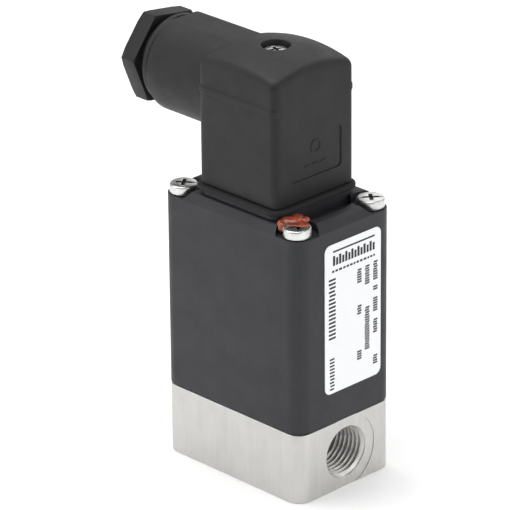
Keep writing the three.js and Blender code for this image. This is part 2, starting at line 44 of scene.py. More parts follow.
import bmesh
import bpy
from bpy.props import FloatProperty, FloatVectorProperty, IntProperty, PointerProperty
from mathutils import Matrix, Vector

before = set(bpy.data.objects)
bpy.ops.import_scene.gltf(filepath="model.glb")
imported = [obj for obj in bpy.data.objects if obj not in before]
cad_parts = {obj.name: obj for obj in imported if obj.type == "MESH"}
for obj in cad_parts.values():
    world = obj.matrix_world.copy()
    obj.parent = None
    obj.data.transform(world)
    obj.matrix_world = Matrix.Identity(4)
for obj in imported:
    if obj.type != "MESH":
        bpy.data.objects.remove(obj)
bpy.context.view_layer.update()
MM = 0.001


# --- places read from the frame
def span(node):
    """Lowest and highest corner of a frame node, in millimetres."""
    low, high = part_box(node)
    return Vector(low) / MM, Vector(high) / MM


def centre_of(node):
    """Middle of a frame node's box, in millimetres."""
    low, high = span(node)
    return (low + high) / 2


BODY_HIGH = span("valve_body")[1]
HOUSING_FOOT = span("coil_housing")[0].z
GASKET_LOW, GASKET_HIGH = span("plug_gasket")
HOOD_LOW, HOOD_HIGH = span("plug_hood")
NUT_END = -span("gland_nut")[0].x
PLUG_SCREW_LOW, PLUG_SCREW_HIGH = span("plug_screw")
LABEL_LOW, LABEL_HIGH = span("rating_label")
SCREW_NODES = [f"housing_screw_{number}" for number in (1, 2, 3, 4)]
SCREW_PLACES = [centre_of(node) for node in SCREW_NODES]
HALF_X, HALF_Y, BODY_TOP = BODY_HIGH

# Features of the solids that their boxes don't give, in millimetres. Slabs are given as half
# length, half width, corner radius and floor.
CORNER = 4.0
BODY_INSET = 0.05
CHAMBER = (11.5, 7, 6.9, 12.5)
LEDGE = (16.5, 10.5, 10.4, 16.4)
SEAT_X, SEAT_BORE = 7, 1.5
SCREW_HOLE = 2.3
FIXING_X, FIXING_Y = 10, -11
RIM_Z = 68.0
PLATEAU_Z = 69.7
PLATEAU_CORNER = 2.6
SLOPE_X, SLOPE_Y, SLOPE_BACK = 2.7, 2.0, 0.5
POCKET_FLOOR = 67.8
POCKET_RADIUS = 5.05
MOAT_FLOOR = 67.6
MOAT = (18.4, 11.0, 7.0, MOAT_FLOOR)
PEDESTAL_HALF, PEDESTAL_TOP = 13.3, 70.7
ROOM_GAP = 0.3
YOKE_PLATE = 3
CUT_TOP = 80
PORT_Z = 9.0
PORT_MINOR = 5.72
PORT_MAJOR = 6.58
PORT_PITCH = 1.337
PORT_RUNOUT = 2.2
PORT_DEPTH, SIDE_PORT_DEPTH = 10.5, 8.0
PORT_WAY = 2.0
SPOT_FACE = 9.5
SPOT_SINK = 0.2
HOOD_X, HOOD_Y = HOOD_HIGH.x, 13.2
HOOD_CORNER = 2.1
DOME_RADIUS = 46.0
CROWN = 106.95
BACK_FALL = 0.0032
NECK_Z = 94.4
NECK_RADIUS = 12.25
NECK_FLAT = 105.8
NECK_BORE = 9.1
NECK_END = -31.4
NECK_SHOULDER = 14.0
BEAD_LOW, BEAD_HIGH = 95.35, 97.35
PANEL_Y, PANEL_Z = (-8.4, 8.5), (77.7, 88.2)
PANEL_DEPTH = 0.22
ROOF_HOLE = 3.5
ROOF_FLOOR = 102.75
CAVITY_TOP = 101.5
CAVITY_WALL = 1.5


# --- mesh helpers
def make_object(name, verts, faces):
    """A mesh object from millimetre corners, faces turned outwards."""
    mesh = bpy.data.meshes.new(name)
    mesh.from_pydata([Vector(v) * MM for v in verts], [], faces)
    obj = bpy.data.objects.new(name, mesh)
    bpy.context.collection.objects.link(obj)
    with_bmesh(obj, lambda bm: bmesh.ops.recalc_face_normals(bm, faces=bm.faces))
    return obj


def with_bmesh(obj, edit):
    bm = bmesh.new()
    bm.from_mesh(obj.data)
    edit(bm)
    bm.to_mesh(obj.data)
    bm.free()
    obj.data.update()


def ring_faces(start, levels, count):
    """Quads between successive rings of count corners; the first ring begins at corner start."""
    faces = []
    for low in range(start, start + levels * count, count):
        for i in range(count):
            j = (i + 1) % count
            faces.append((low + i, low + j, low + count + j, low + count + i))
    return faces


def loft(name, rings):
    """Closed skin over rings of equal length, with a cap at each end."""
    count, levels = len(rings[0]), len(rings) - 1
    faces = ring_faces(0, levels, count)
    faces.append(tuple(range(count - 1, -1, -1)))
    faces.append(tuple(range(levels * count, (levels + 1) * count)))
    return make_object(name, [point for ring in rings for point in ring], faces)


def quarter(steps):
    """Angles of a quarter turn."""
    return [math.pi / 2 * k / steps for k in range(steps + 1)]


def circle(radius, count):
    """Corners of a circle about the origin; radius is one value, or one for each corner."""
    radii = radius if isinstance(radius, list) else [radius] * count
    angles = [2 * math.pi * k / count for k in range(count)]
    return [(r * math.cos(a), r * math.sin(a)) for r, a in zip(radii, angles)]


def rounded_outline(half_x, half_y, radius, corner_steps=8, side_steps=1):
    """Points of a rounded rectangle with their outward normals, counter-clockwise from +X."""
    points = []
    corners = [(1, 1, 0), (-1, 1, 1), (-1, -1, 2), (1, -1, 3)]
    for sx, sy, quarter in corners:
        centre = Vector((sx * (half_x - radius), sy * (half_y - radius)))
        for step in range(corner_steps + 1):
            angle = (quarter + step / corner_steps) * math.pi / 2
            normal = Vector((math.cos(angle), math.sin(angle)))
            points.append((centre + normal * radius, normal))
        next_x, next_y, _ = corners[(quarter + 1) % 4]
        start, normal = points[-1]
        other = Vector((next_x * (half_x - radius), next_y * (half_y - radius))) + normal * radius
        for step in range(1, side_steps):
            points.append((start.lerp(other, step / side_steps), normal))
    return points


def section(half_x, half_y, radius, height, steps=8):
    """One ring of a rounded rectangle at a height."""
    return [Vector((p.x, p.y, height)) for p, _ in rounded_outline(half_x, half_y, radius, steps)]


def slab(name, half_x, half_y, radius, low, high, edge=0.0, steps=8):
    """Upright rounded block with its top and bottom edges rounded by edge."""
    rings = []
    if edge:
        arc = quarter(4)
        rings += [section(half_x - edge * (1 - math.sin(a)), half_y - edge * (1 - math.sin(a)),
                          radius, low + edge * (1 - math.cos(a)), steps) for a in arc]
        rings += [section(half_x - edge * (1 - math.cos(a)), half_y - edge * (1 - math.cos(a)),
                          radius, high - edge * (1 - math.sin(a)), steps) for a in arc]
    else:
        rings = [section(half_x, half_y, radius, z, steps) for z in (low, high)]
    return loft(name, rings)


def revolve(name, profile, segments=48):
    """Turns (radius, height) pairs about +Z; an open profile starts and ends on the axis."""
    closed = profile[0] == profile[-1]
    rows = profile[:-1] if closed else profile
    verts, index = [], []
    for radius, height in rows:
        if radius == 0:
            index.append([len(verts)] * segments)
            verts.append((0, 0, height))
            continue
        index.append(list(range(len(verts), len(verts) + segments)))
        verts += [(x, y, height) for x, y in circle(radius, segments)]
    faces = []
    pairs = len(rows) if closed else len(rows) - 1
    for r in range(pairs):
        here, after = index[r], index[(r + 1) % len(rows)]
        for k in range(segments):
            m = (k + 1) % segments
            face = list(dict.fromkeys([here[k], here[m], after[m], after[k]]))
            if len(face) > 2:
                faces.append(face)
    return make_object(name, verts, faces)


def arc_profile(centre, radius, start, end, steps=6):
    """Arc in a (radius, height) profile; angles in degrees from +radius towards +height."""
    points = []
    for k in range(steps + 1):
        angle = math.radians(start + (end - start) * k / steps)
        points.append((centre[0] + radius * math.cos(angle), centre[1] + radius * math.sin(angle)))
    return points


def move(obj, matrix):
    """Places an object's corners by a matrix given in millimetres."""
    scaled = matrix.copy()
    scaled.translation = matrix.translation * MM
    obj.data.transform(scaled)
    if scaled.determinant() < 0:
        obj.data.flip_normals()
    return obj


def at(x, y, z):
    return Matrix.Translation((x, y, z))


def turn(degrees, axis):
    return Matrix.Rotation(math.radians(degrees), 4, axis)


def facing_x(x, y, z):
    """Place on a wall that faces +X: the tool's height points outwards, its length along +Y."""
    return at(x, y, z) @ turn(90, "Z") @ turn(90, "X")


def rod(name, radius, low, high, segments, x=0, y=0):
    """Upright round tool standing at a place."""
    tool = revolve(name, [(0, low), (radius, low), (radius, high), (0, high)], segments)
    return move(tool, at(x, y, 0))


def block(name, low, high):
    """Plain box tool, used only to cut with."""
    (x0, y0, z0), (x1, y1, z1) = low, high
    ring = [(x0, y0), (x1, y0), (x1, y1), (x0, y1)]
    return loft(name, [[Vector((x, y, z)) for x, y in ring] for z in (z0, z1)])


def apply_modifiers(obj):
    graph = bpy.context.evaluated_depsgraph_get()
    mesh = bpy.data.meshes.new_from_object(obj.evaluated_get(graph), depsgraph=graph)
    old = obj.data
    obj.modifiers.clear()
    obj.data = mesh
    mesh.name = obj.name
    bpy.data.meshes.remove(old)
    return obj


def carve(obj, tools, operation="DIFFERENCE"):
    """Cuts, joins or intersects obj with each tool and removes the tools."""
    for tool in tools:
        modifier = obj.modifiers.new(operation.title(), "BOOLEAN")
        modifier.operation = operation
        modifier.solver = "EXACT"
        modifier.object = tool
        apply_modifiers(obj)
        mesh = tool.data
        bpy.data.objects.remove(tool)
        bpy.data.meshes.remove(mesh)
    return obj


def soften(obj, width, segments=2, angle=35):
    """Rounds every edge sharper than angle by width millimetres."""
    with_bmesh(obj, lambda bm: bmesh.ops.remove_doubles(bm, verts=bm.verts, dist=0.004 * MM))
    modifier = obj.modifiers.new("Edges", "BEVEL")
    modifier.width = width * MM
    modifier.segments = segments
    modifier.limit_method = "ANGLE"
    modifier.angle_limit = math.radians(angle)
    modifier.use_clamp_overlap = True
    modifier.harden_normals = False
    return apply_modifiers(obj)


def shade(obj, angle=32):
    """Smooth shading with edges sharper than angle kept crisp."""
    for polygon in obj.data.polygons:
        polygon.use_smooth = True
    obj.data.set_sharp_from_angle(angle=math.radians(angle))
    return obj


def finish_piece(obj, body, slot, finish, *nodes):
    """Gives a piece its finish and its place in the frame."""
    obj.data.materials.clear()
    obj.data.materials.append(finish_named(finish))
    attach(obj, body)
    if nodes:
        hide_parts(*nodes)


# --- node helpers for the finishes
class Finish:
    """A material being built: its shader, its object coordinates and small node helpers."""

    def __init__(self, name, color, roughness, metallic=0.0):
        self.material = bpy.data.materials.new(name)
        self.material.use_nodes = True
        self.nodes = self.material.node_tree.nodes
        self.links = self.material.node_tree.links
        self.shader = self.nodes["Principled BSDF"]
        self.shader.inputs["Base Color"].default_value = (*color, 1)
        self.shader.inputs["Roughness"].default_value = roughness
        self.shader.inputs["Metallic"].default_value = metallic
        self.place = self.nodes.new("ShaderNodeTexCoord").outputs["Object"]
        self.height = None

    def noise(self, scale, detail=3, roughness=0.6, stretch=None):
        """Noise over the piece; scale is in features per metre."""
        node = self.nodes.new("ShaderNodeTexNoise")
        node.inputs["Scale"].default_value = scale
        node.inputs["Detail"].default_value = detail
        node.inputs["Roughness"].default_value = roughness
        source = self.place
        if stretch:
            mapping = self.nodes.new("ShaderNodeMapping")
            mapping.inputs["Scale"].default_value = stretch
            self.links.new(self.place, mapping.inputs["Vector"])
            source = mapping.outputs["Vector"]
        self.links.new(source, node.inputs["Vector"])
        return node.outputs["Fac"]

    def cells(self, scale):
        """Cell pattern over the piece; scale is in features per metre."""
        node = self.nodes.new("ShaderNodeTexVoronoi")
        node.inputs["Scale"].default_value = scale
        self.links.new(self.place, node.inputs["Vector"])
        return node.outputs["Distance"]

    def remap(self, source, low, high, to_low=0, to_high=1):
        node = self.nodes.new("ShaderNodeMapRange")
        ends = {"From Min": low, "From Max": high, "To Min": to_low, "To Max": to_high}
        for name, value in ends.items():
            node.inputs[name].default_value = value
        self.links.new(source, node.inputs["Value"])
        return node.outputs["Result"]

    def combine(self, operation, first, second):
        node = self.nodes.new("ShaderNodeMath")
        node.operation = operation
        for socket, value in zip(node.inputs, (first, second)):
            if isinstance(value, float):
                socket.default_value = value
            else:
                self.links.new(value, socket)
        return node.outputs["Value"]

    def blend(self, broad, fine):
        """Mixes a broad pattern with a fine one, three parts to two."""
        return self.combine("ADD", self.combine("MULTIPLY", broad, 0.6),
                            self.combine("MULTIPLY", fine, 0.4))

    def tint(self, factor, first, second):
        """Base colour blended between two colours by a factor."""
        node = self.nodes.new("ShaderNodeMix")
        node.data_type = "RGBA"
        node.inputs["A"].default_value = (*first, 1)
        node.inputs["B"].default_value = (*second, 1)
        self.links.new(factor, node.inputs["Factor"])
        self.links.new(node.outputs["Result"], self.shader.inputs["Base Color"])

    def gloss(self, factor, low, high):
        self.links.new(self.remap(factor, 0.3, 0.7, low, high), self.shader.inputs["Roughness"])

    def bump(self, height, distance, strength=1.0):
        """Adds relief; distance is in millimetres. Repeated calls stack."""
        node = self.nodes.new("ShaderNodeBump")
        node.inputs["Strength"].default_value = strength
        node.inputs["Distance"].default_value = distance * MM
        self.links.new(height, node.inputs["Height"])
        if self.height is not None:
            self.links.new(self.height, node.inputs["Normal"])
        self.height = node.outputs["Normal"]
        self.links.new(self.height, self.shader.inputs["Normal"])


def lighter(color, factor):
    return tuple(min(1.0, c * factor) for c in color)


# --- finishes
def moulded_plastic(name, color, roughness, grain, sheen=0.5):
    """Matt moulded plastic: spark-eroded grain, faint flow clouds and handling marks."""
    finish = Finish(name, color, roughness)
    clouds = finish.noise(60, 4, 0.55)
    specks = finish.noise(1500, 2, 0.6)
    mottle = finish.remap(finish.blend(clouds, specks), 0.35, 0.65)
    finish.tint(mottle, lighter(color, 0.9), lighter(color, 1.14))
    rub = finish.noise(140, 5, 0.7)
    finish.gloss(rub, roughness - 0.06, roughness + 0.07)
    finish.bump(finish.cells(2600), grain, 0.5)
    finish.bump(finish.noise(4200, 2, 0.6), grain * 0.6, 0.5)
    finish.bump(finish.noise(90, 2, 0.5), 0.02, 0.25)
    finish.shader.inputs["Specular IOR Level"].default_value = sheen
    return finish.material


def blasted_steel(name, color):
    """Stainless steel with a fine blasted face, faint draw lines and slight staining."""
    finish = Finish(name, color, 0.42, 1.0)
    stain = finish.noise(85, 5, 0.6)
    lines = finish.noise(900, stretch=(1, 1, 0.08))
    mottle = finish.remap(finish.blend(stain, lines), 0.34, 0.66)
    finish.tint(mottle, lighter(color, 0.93), lighter(color, 1.05))
    finish.gloss(finish.noise(420, 4, 0.65), 0.38, 0.5)
    finish.bump(finish.noise(5200, 3, 0.65), 0.012, 0.6)
    finish.bump(finish.cells(3600), 0.008, 0.4)
    finish.bump(lines, 0.004, 0.3)
    return finish.material


def machined_metal(name, color, roughness, stretch=(1, 1, 1)):
    """Turned, drawn or plated metal with fine tool marks."""
    finish = Finish(name, color, roughness, 1.0)
    marks = finish.noise(2400, stretch=stretch)
    clouds = finish.noise(260, 4, 0.6)
    finish.tint(finish.remap(clouds, 0.35, 0.65), lighter(color, 0.86), lighter(color, 1.08))
    finish.gloss(finish.noise(700, 4, 0.6), max(0.08, roughness - 0.07), roughness + 0.09)
    finish.bump(marks, 0.006, 0.45)
    finish.bump(finish.noise(320), 0.01, 0.35)
    return finish.material


def soft_rubber(name, color, roughness=0.72):
    """Moulded rubber, dusty and slightly mottled."""
    finish = Finish(name, color, roughness)
    bloom = finish.noise(180, 5, 0.65)
    finish.tint(finish.remap(bloom, 0.36, 0.68), lighter(color, 0.85), lighter(color, 1.5))
    finish.gloss(bloom, roughness - 0.08, roughness + 0.1)
    finish.bump(finish.noise(2600), 0.012, 0.5)
    finish.shader.inputs["Specular IOR Level"].default_value = 0.3
    return finish.material


def brushed_lacquer(name, color):
    """Thick red lacquer: glossy, thinner and darker where it ran."""
    finish = Finish(name, color, 0.3)
    thickness = finish.noise(520, 4, 0.62)
    finish.tint(finish.remap(thickness, 0.34, 0.64), lighter(color, 0.5), lighter(color, 1.45))
    finish.gloss(finish.noise(900), 0.2, 0.5)
    finish.bump(finish.noise(900), 0.12, 0.6)
    finish.shader.inputs["Coat Weight"].default_value = 0.7
    finish.shader.inputs["Coat Roughness"].default_value = 0.1
    return finish.material


def printed_film(name, color, roughness):
    """White label film: satin, faint fibre mottling and a little grime."""
    finish = Finish(name, color, roughness)
    grime = finish.noise(220, 5, 0.6)
    finish.tint(finish.remap(grime, 0.3, 0.55), lighter(color, 0.955), color)
    finish.gloss(finish.noise(600), roughness - 0.05, roughness + 0.07)
    finish.bump(finish.noise(1700), 0.004, 0.4)
    return finish.material


def printing_ink(name, color):
    """Thermal print: dark, uneven where the ribbon missed."""
    finish = Finish(name, color, 0.55)
    missed = finish.noise(2600, 3, 0.7)
    finish.tint(finish.remap(missed, 0.55, 0.8), color, lighter(color, 3.0))
    finish.gloss(missed, 0.48, 0.62)
    finish.bump(missed, 0.003, 0.3)
    return finish.material


def enamelled_wire(name, color):
    """Winding of fine copper wire: close horizontal turns under clear enamel."""
    finish = Finish(name, color, 0.32, 1.0)
    node = finish.nodes.new("ShaderNodeTexWave")
    node.bands_direction = "Z"
    node.inputs["Scale"].default_value = 520
    node.inputs["Distortion"].default_value = 0.4
    finish.links.new(finish.place, node.inputs["Vector"])
    turns = node.outputs["Fac"]
    finish.tint(turns, lighter(color, 0.55), lighter(color, 1.15))
    finish.gloss(finish.noise(500), 0.26, 0.42)
    finish.bump(turns, 0.1, 0.8)
    return finish.material


def colour(name, description, default):
    return FloatVectorProperty(name=name, description=description, default=default,
                               subtype="COLOR", size=3, min=0, max=1)


def number(name, description, default, **limits):
    return FloatProperty(name=name, description=description, default=default, **limits)


class ValveColours(bpy.types.PropertyGroup):
    """Colours and gloss that a user would change."""

    body_steel: colour("Body steel", "Blasted stainless steel of the valve body",
                       (0.59, 0.585, 0.565))
    housing: colour("Coil housing", "Moulded resin round the coil", (0.0215, 0.022, 0.0265))
    hood: colour("Plug hood", "Moulded polyamide of the cable plug and its gland nut",
                 (0.011, 0.011, 0.0115))
    lacquer: colour("Sealing lacquer", "Lacquer over the front screw", (0.29, 0.043, 0.015))
    label: colour("Label film", "White film of the rating label", (0.77, 0.78, 0.81))
    plastic_roughness: number("Plastic roughness", "Roughness of the moulded plastics", 0.55,
                              subtype="FACTOR", min=0, max=1)


class ValveSizes(bpy.types.PropertyGroup):
    """Roundings and reliefs of the visible pieces, in millimetres."""

    mould_edge: number("Moulded edge", "Rounding of the plastic edges, mm", 0.28, min=0.05, max=1)
    steel_edge: number("Steel edge", "Rounding of the body's edges, mm", 0.25, min=0.05, max=1)
    roof_edge: number("Roof edge", "Rounding between the hood's walls and its roof, mm", 1.7,
                      min=0.3, max=3)
    bead: number("Hood bead", "How far the bead stands out of the hood, mm", 0.3, min=0, max=0.34)
    thread_steps: IntProperty(
        name="Thread steps", description="Sides of each port thread", min=16, max=128, default=64)


def sizes():
    return bpy.context.scene.valve_sizes


def finish_named(name):
    """Each finish is made once and shared by its pieces."""
    if name in bpy.data.materials:
        return bpy.data.materials[name]
    colours = bpy.context.scene.valve_colours
    rough = colours.plastic_roughness
    makers = {
        "blasted_stainless": (blasted_steel, tuple(colours.body_steel)),
        "housing_resin": (moulded_plastic, tuple(colours.housing), rough, 0.03, 0.42),
        "hood_polyamide": (moulded_plastic, tuple(colours.hood), rough, 0.02, 0.37),
        "carrier_polyamide": (moulded_plastic, (0.06, 0.06, 0.065), rough, 0.02),
        "bobbin_polyamide": (moulded_plastic, (0.7, 0.66, 0.53), rough, 0.02),
        "screw_plating": (machined_metal, (0.7, 0.71, 0.69), 0.3),
        # Dark brown metal for the inside of screw recesses: painted shade, with some grime.
        "screw_recess": (machined_metal, (0.1, 0.09, 0.07), 0.5),
        "magnet_steel": (machined_metal, (0.38, 0.39, 0.4), 0.35, (1, 1, 0.15)),
        "spring_wire": (machined_metal, (0.5, 0.51, 0.52), 0.25),
        "machined_brass": (machined_metal, (0.62, 0.44, 0.16), 0.28),
        "winding_copper": (enamelled_wire, (0.62, 0.2, 0.07)),
        "gasket_rubber": (soft_rubber, (0.009, 0.0095, 0.0095)),
        "seal_rubber": (soft_rubber, (0.05, 0.034, 0.026)),
        "red_lacquer": (brushed_lacquer, tuple(colours.lacquer)),
        "label_film": (printed_film, tuple(colours.label), 0.42),
        "label_ink": (printing_ink, (0.012, 0.012, 0.014)),
    }
    maker, *values = makers[name]
    return maker(name, *values)


# --- valve body
def thread_radius(inward, around, depth):
    """Radius of a port's cutter at a depth and at a share of a turn around its axis."""
    tooth = 1 - abs(2 * ((inward / PORT_PITCH + around) % 1.0) - 1)
    crest = min(max(tooth * 1.3 - 0.15, 0.0), 1.0)
    crest *= min((depth - inward) / PORT_RUNOUT, 1.0)
    mouth = PORT_MAJOR + 0.05 - (inward - SPOT_SINK)
    return max(PORT_MINOR + (PORT_MAJOR - PORT_MINOR) * crest, mouth)


def port_tool(name, depth, reach):
    """Cutter for a pipe port: spot face, chamfer, helical thread and the drilled way."""
    sides = sizes().thread_steps
    count = round((depth - SPOT_SINK) / (PORT_PITCH / 10))
    levels = [(-1.0, SPOT_FACE), (SPOT_SINK, SPOT_FACE)]
    for level in range(count + 1):
        inward = SPOT_SINK + (depth - SPOT_SINK) * level / count
        levels.append((inward, [thread_radius(inward, k / sides, depth) for k in range(sides)]))
    levels += [(depth + 1.6, PORT_WAY), (reach, PORT_WAY)]
    return loft(name, [[Vector((x, y, -inward)) for x, y in circle(radius, sides)]
                       for inward, radius in levels])


class VALVE_OT_body(bpy.types.Operator):
    """Stainless body block with three threaded ports, seats and fixing holes"""

    bl_idname = "valve.body"
    bl_label = "Valve body"

    def execute(self, context):
        body = slab("valve_body_block", HALF_X - BODY_INSET, HALF_Y - BODY_INSET,
                    CORNER - BODY_INSET, 0, BODY_TOP, sizes().steel_edge, 10)
        above = BODY_TOP + 1
        carve(body, [slab("chamber", *CHAMBER, above), slab("ledge", *LEDGE, above)])
        seat = [(0, 12), (3, 12), (3, 14.35), (2.75, 14.6), (0, 14.6)]
        seats = [move(revolve("seat", seat, 32), at(side * SEAT_X, 0, 0)) for side in (-1, 1)]
        carve(body, seats, "UNION")
        reach = HALF_X - 6
        tools = [
            move(port_tool("inlet", PORT_DEPTH, reach), at(HALF_X, 0, PORT_Z) @ turn(90, "Y")),
            move(port_tool("outlet", PORT_DEPTH, reach), at(-HALF_X, 0, PORT_Z) @ turn(-90, "Y")),
            move(port_tool("side", SIDE_PORT_DEPTH, HALF_Y + 1),
                 at(0, HALF_Y, PORT_Z) @ turn(-90, "X")),
        ]
        low, high = PORT_Z - 0.6, BODY_TOP + 2
        tools += [move(rod("bore", SEAT_BORE, low, high, 28),
                       at(side * SEAT_X, 0, 0) @ turn(4, "Z")) for side in (-1, 1)]
        tools.append(rod("way", PORT_WAY - 0.1, low, CHAMBER[3] + 1, 28))
        tools += [rod("hole", SCREW_HOLE, 7.5, high, 24, p.x, p.y) for p in SCREW_PLACES]
        fixing = [(0, -1), (2.05, -1), (2.05, 0), (1.65, 0.4), (1.65, 7), (0, 8)]
        tools += [move(revolve("fixing", fixing, 32), at(side * FIXING_X, FIXING_Y, 0))
                  for side in (-1, 1)]
        carve(body, tools)
        shade(body, 30)
        finish_piece(body, "valve", "stainless", "blasted_stainless", "valve_body")
        return {"FINISHED"}


# --- coil housing
def housing_section(rise, inset, height, corner):
    """Ring of the housing; rise runs from 0 at the rim to 1 at the plateau."""
    half_y = HALF_Y - rise * (SLOPE_Y + SLOPE_BACK) / 2 - inset
    shift = rise * (SLOPE_Y - SLOPE_BACK) / 2
    ring = section(HALF_X - rise * SLOPE_X - inset, half_y, corner, height, 10)
    return [point + Vector((0, shift, 0)) for point in ring]


def housing_rings():
    """Sections of the housing from its foot to the plateau, with rounded creases."""
    edge = sizes().mould_edge
    rings = []
    for a in quarter(3):
        inset, lift = edge * 0.6 * (1 - math.sin(a)), edge * 0.6 * (1 - math.cos(a))
        rings.append(housing_section(0, inset, HOUSING_FOOT + lift, CORNER))
    steps = 5
    blend = edge * 1.2
    rise = PLATEAU_Z - RIM_Z
    for k in range(steps + 1):
        t = k / steps
        height = RIM_Z - blend * (1 - t) ** 2 * 0.6 + blend * t * t
        rings.append(housing_section(blend * t * t / rise, 0, height, CORNER - 0.3 * t))
    for k in range(steps + 1):
        t = k / steps
        back = blend * (1 - t) ** 2
        rings.append(housing_section(1 - back / rise, blend * t * t, PLATEAU_Z - back,
                                     PLATEAU_CORNER))
    return rings


class VALVE_OT_housing(bpy.types.Operator):
    """Moulded coil housing with its screw pockets, connector seat and inner rooms"""

    bl_idname = "valve.housing"
    bl_label = "Coil housing"

    def execute(self, context):
        housing = loft("coil_housing_block", housing_rings())
        pockets = [rod("pocket", POCKET_RADIUS, POCKET_FLOOR, CUT_TOP, 72, p.x, p.y)
                   for p in SCREW_PLACES]
        carve(housing, [slab("moat", *MOAT, CUT_TOP)] + pockets)
        pedestal = slab("pedestal", PEDESTAL_HALF, PEDESTAL_HALF, 3, MOAT_FLOOR - 0.5,
                        PEDESTAL_TOP, 0.2, 6)
        carve(housing, [pedestal], "UNION")
        soften(housing, 0.16, 2, 40)
        carve(housing, self.rooms())
        shade(housing, 34)
        finish_piece(housing, "valve", "housing_plastic", "housing_resin", "coil_housing")
        return {"FINISHED"}

    @staticmethod
    def rooms():
        """Cutters that leave a gap round each piece inside the housing."""
        gap = ROOM_GAP
        yoke_low, yoke_high = span("yoke")
        left, right = yoke_low.y - gap, yoke_high.y + gap
        coil_low, coil_high = span("coil_bobbin")
        frame_high = span("armature_frame")[1]
        coil_x = (coil_low.x + coil_high.x) / 2
        coil_radius = (coil_high.x - coil_low.x) / 2 + gap
        rooms = [
            slab("frame_room", frame_high.x + gap, frame_high.y + gap, 2, 10, frame_high.z + gap),
            rod("coil_room", coil_radius, frame_high.z, coil_high.z + gap, 64, coil_x),
            block("yoke_room", (yoke_low.x - gap, left, frame_high.z),
                  (yoke_low.x + YOKE_PLATE + gap, right, yoke_high.z + gap)),
            block("plate_room", (yoke_low.x - gap, left, yoke_high.z - YOKE_PLATE - gap),
                  (yoke_high.x + gap, right, yoke_high.z + gap)),
            rod("insert_room", 3.2, 64.5, CUT_TOP, 40),
        ]
        for node in ("terminal_blade_1", "terminal_blade_2", "earth_blade"):
            low, high = span(node)
            rooms.append(block("blade_room", (low.x - gap, low.y - gap, low.z - gap),
                               (high.x + gap, high.y + gap, CUT_TOP)))
        return rooms + [rod("hole", SCREW_HOLE, 10, 75, 24, p.x, p.y) for p in SCREW_PLACES]


# --- housing screws and lacquer
SCREW_TURNS = (38, 62, 50, 15)
CROSS_REACH = 2.0


def cross_tools(top, width, reach, depth, slot_reach, slot_depth):
    """Tapered cross recess with a through slot."""
    tools = []
    half = width / 2
    for angle in (0, 90):
        rings = []
        for z, scale in ((top - depth, 0.4), (top - depth * 0.55, 0.86), (top + 0.5, 1.0)):
            x, y = reach * scale, half * scale
            corners = ((-x, -y, z), (x, -y, z), (x, y, z), (-x, y, z))
            rings.append([Vector(corner) for corner in corners])
        tools.append(move(loft("arm", rings), turn(angle, "Z")))
    tools.append(block("slot", (-slot_reach, -width * 0.42, top - slot_depth),
                       (slot_reach, width * 0.42, top + 1)))
    return tools


def cross_screw(name, radius, low, top, edge, bevel, shank, **recess):
    """Cheese-head screw: rounded rim, faintly domed face, cross recess with a slot, shank."""
    profile = [(0, low), (radius - 0.12, low), (radius, low + 0.12)]
    profile += arc_profile((radius - edge, top - edge - 0.06), edge, 0, 78, 6)
    profile += [(radius * 0.45, top - 0.01), (0, top)]
    screw = revolve(name, profile, 64)
    carve(screw, cross_tools(top, slot_reach=radius + 1, **recess))
    soften(screw, bevel, 2, 40)
    return carve(screw, [revolve("shank", shank, 24)], "UNION")


def paint_recess_shade(obj, axis, top, reach):
    """Gives the faces sunk into a screw head a dark brown finish: painted shade in the recess, with
    some grime.
    """
    obj.data.materials.append(finish_named("screw_recess"))
    for polygon in obj.data.polygons:
        middle = polygon.center / MM
        if (middle - axis).xy.length < reach and top - 2.0 < middle.z < top - 0.12:
            polygon.material_index = 1


class VALVE_OT_screws(bpy.types.Operator):
    """Four plated cheese-head screws with cross recess and slot"""

    bl_idname = "valve.screws"
    bl_label = "Housing screws"

    def execute(self, context):
        foot, overlap = POCKET_FLOOR + 0.15, POCKET_FLOOR + 0.4
        for node, place, angle in zip(SCREW_NODES, SCREW_PLACES, SCREW_TURNS):
            low, high = span(node)
            radius = (high.x - low.x) / 2
            shank = [(0, low.z), (1.6, low.z), (2, low.z + 0.5), (2, overlap), (0, overlap)]
            head = cross_screw(f"{node}_head", radius, foot, high.z, 0.5, 0.07, shank,
                               width=0.95, reach=CROSS_REACH, depth=1.7, slot_depth=0.85)
            move(head, at(place.x, place.y, 0) @ turn(angle, "Z"))
            shade(head, 35)
            finish_piece(head, "valve", "plated_steel", "screw_plating", node)
            paint_recess_shade(head, place, high.z, CROSS_REACH)
        return {"FINISHED"}


# Lumps of lacquer as x and y from the screw's axis, height, radius and half thickness.
LACQUER_LUMPS = (
    (-2.7, 1.6, 70.3, 1.9, 1.0), (-2.9, 3.1, 70.6, 1.5, 0.8), (-4.0, 0.6, 70.3, 1.5, 0.9),
    (-4.3, -0.9, 70.0, 1.2, 0.9), (-1.2, 3.8, 70.4, 1.2, 0.7), (-3.3, -1.9, 69.6, 0.8, 1.2),
    (-0.7, 1.3, 70.25, 1.9, 0.45), (0.7, 2.0, 70.2, 1.2, 0.35), (-1.9, -0.1, 70.2, 1.4, 0.4),
)


